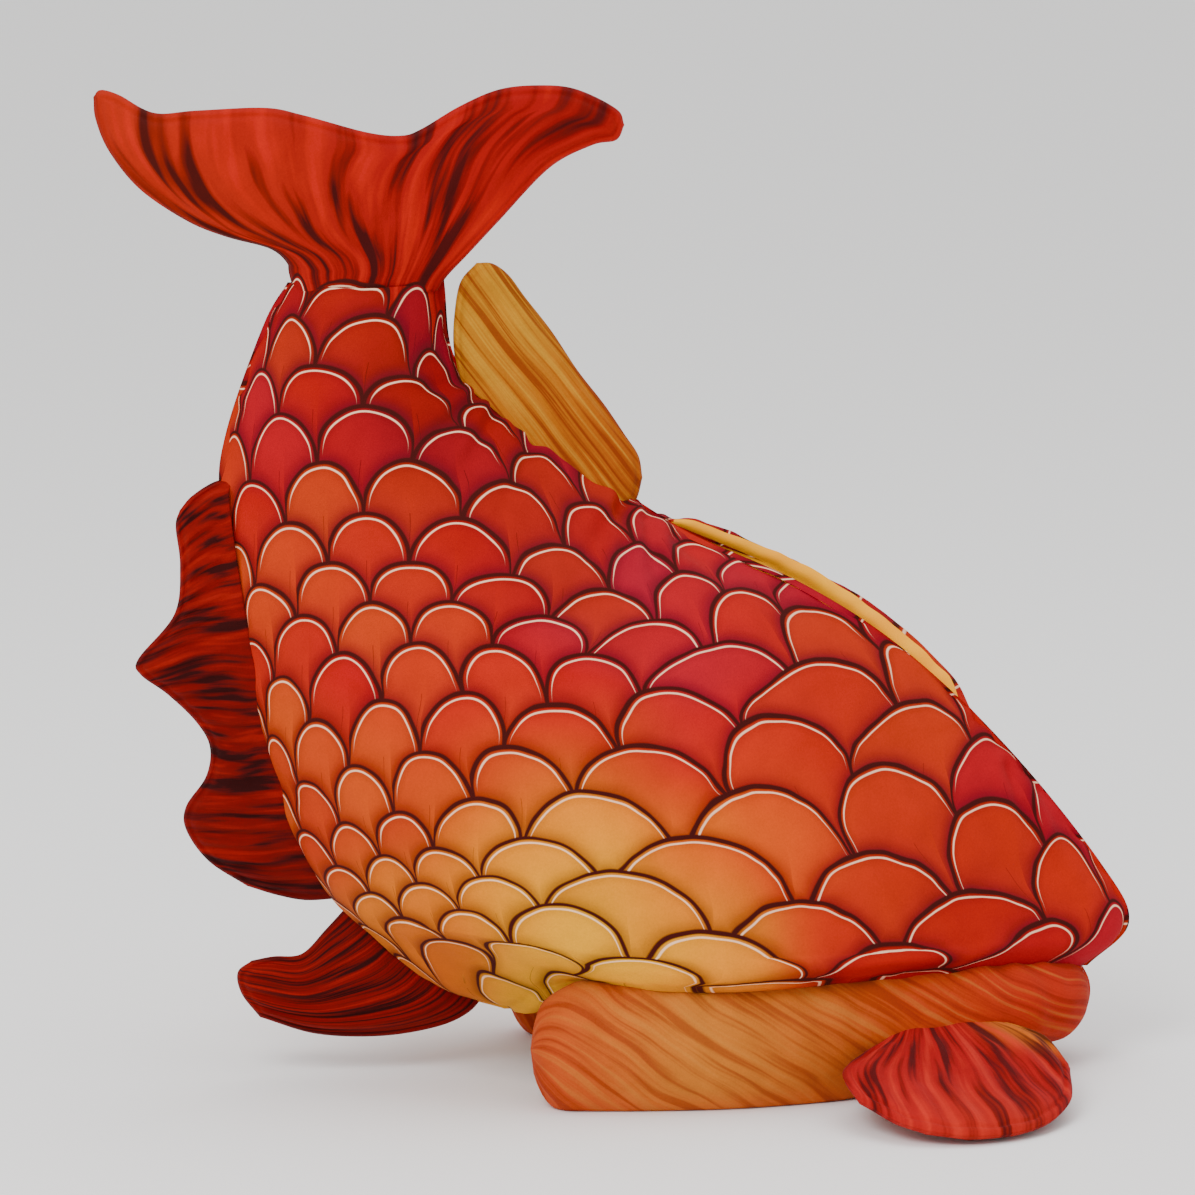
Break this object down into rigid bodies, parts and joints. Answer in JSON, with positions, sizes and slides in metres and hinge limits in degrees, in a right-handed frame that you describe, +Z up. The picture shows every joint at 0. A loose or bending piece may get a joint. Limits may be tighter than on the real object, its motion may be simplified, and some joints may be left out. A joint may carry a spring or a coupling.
{
  "type": "plush carp hood",
  "caption": "Stuffed plush carp worn as a hood: scaled body with a lined head cavity and face slit, horseshoe collar, and stuffed fins that bend at their seams.",
  "frame": {"origin": "centre of the bounding box's base, on the surface the collar stands on", "axes": "+X towards the belly side with the face slit, -X towards the back, -Y the left flank, +Z up towards the tail"},
  "size_m": [0.5148, 0.3568, 0.496],
  "materials": {
    "plush_scales": "short-pile plush printed with red, orange and yellow scales",
    "plush_dark_red": "short-pile plush, dark red with darker streaks",
    "plush_orange": "short-pile plush, orange fading to yellow",
    "plush_yellow": "short-pile plush, mustard with brown streaks",
    "plush_crimson": "short-pile plush, crimson with dark streaks",
    "satin_lining": "smooth yellow satin",
    "polyester_filling": "loose white polyester fibre"
  },
  "bodies": {
    "hood": {"skin_left": "plush_scales", "padding_left": "polyester_filling", "lining_left": "satin_lining", "face_facing_left": "satin_lining", "collar_top_left": "plush_orange", "collar_base_left": "plush_orange", "collar_filling_left": "polyester_filling", "skin_right": "plush_scales", "padding_right": "polyester_filling", "lining_right": "satin_lining", "face_facing_right": "satin_lining", "collar_top_right": "plush_orange", "collar_base_right": "plush_orange", "collar_filling_right": "polyester_filling", "lining_crown": "satin_lining", "stem_filling": "polyester_filling"},
    "tail_fin": {"tail_fin_panel_left": "plush_scales", "tail_fin_panel_right": "plush_scales", "tail_fin_filling": "polyester_filling"},
    "dorsal_fin": {"dorsal_fin_panel_left": "plush_dark_red", "dorsal_fin_panel_right": "plush_dark_red", "dorsal_fin_filling": "polyester_filling"},
    "heel_fin": {"heel_fin_panel_left": "plush_dark_red", "heel_fin_panel_right": "plush_dark_red", "heel_fin_filling": "polyester_filling"},
    "anal_fin": {"anal_fin_panel_left": "plush_yellow", "anal_fin_panel_right": "plush_yellow", "anal_fin_filling": "polyester_filling"},
    "pectoral_left": {"pectoral_left_panel_top": "plush_crimson", "pectoral_left_panel_under": "plush_crimson", "pectoral_left_filling": "polyester_filling"},
    "pectoral_right": {"pectoral_right_panel_top": "plush_crimson", "pectoral_right_panel_under": "plush_crimson", "pectoral_right_filling": "polyester_filling"}
  },
  "joints": [
    {"name": "tail_wag", "type": "hinge", "parent": "hood", "child": "tail_fin", "pos_m": [-0.122, 0, 0.403], "axis": [1, 0, 0], "range_deg": [-25, 25], "stiffness_Nm_per_rad": 0.9},
    {"name": "dorsal_fold", "type": "hinge", "parent": "hood", "child": "dorsal_fin", "pos_m": [-0.2065, 0, 0.304], "axis": [0.1424, 0, -0.9898], "range_deg": [-30, 30], "stiffness_Nm_per_rad": 0.15},
    {"name": "heel_fold", "type": "hinge", "parent": "hood", "child": "heel_fin", "pos_m": [-0.144, 0, 0.075], "axis": [0.8339, 0, -0.5519], "range_deg": [-30, 30], "stiffness_Nm_per_rad": 0.15},
    {"name": "anal_fold", "type": "hinge", "parent": "hood", "child": "anal_fin", "pos_m": [-0.075, 0, 0.359], "axis": [0.7818, 0, -0.6236], "range_deg": [-30, 30], "stiffness_Nm_per_rad": 0.15},
    {"name": "pectoral_left_lift", "type": "hinge", "parent": "hood", "child": "pectoral_left", "pos_m": [0.128, -0.09, 0.034], "axis": [-0.8944, -0.4472, 0], "range_deg": [0, 50], "stiffness_Nm_per_rad": 0.1},
    {"name": "pectoral_right_lift", "type": "hinge", "parent": "hood", "child": "pectoral_right", "pos_m": [0.128, 0.09, 0.034], "axis": [0.8944, -0.4472, 0], "range_deg": [0, 50], "stiffness_Nm_per_rad": 0.1}
  ]
}
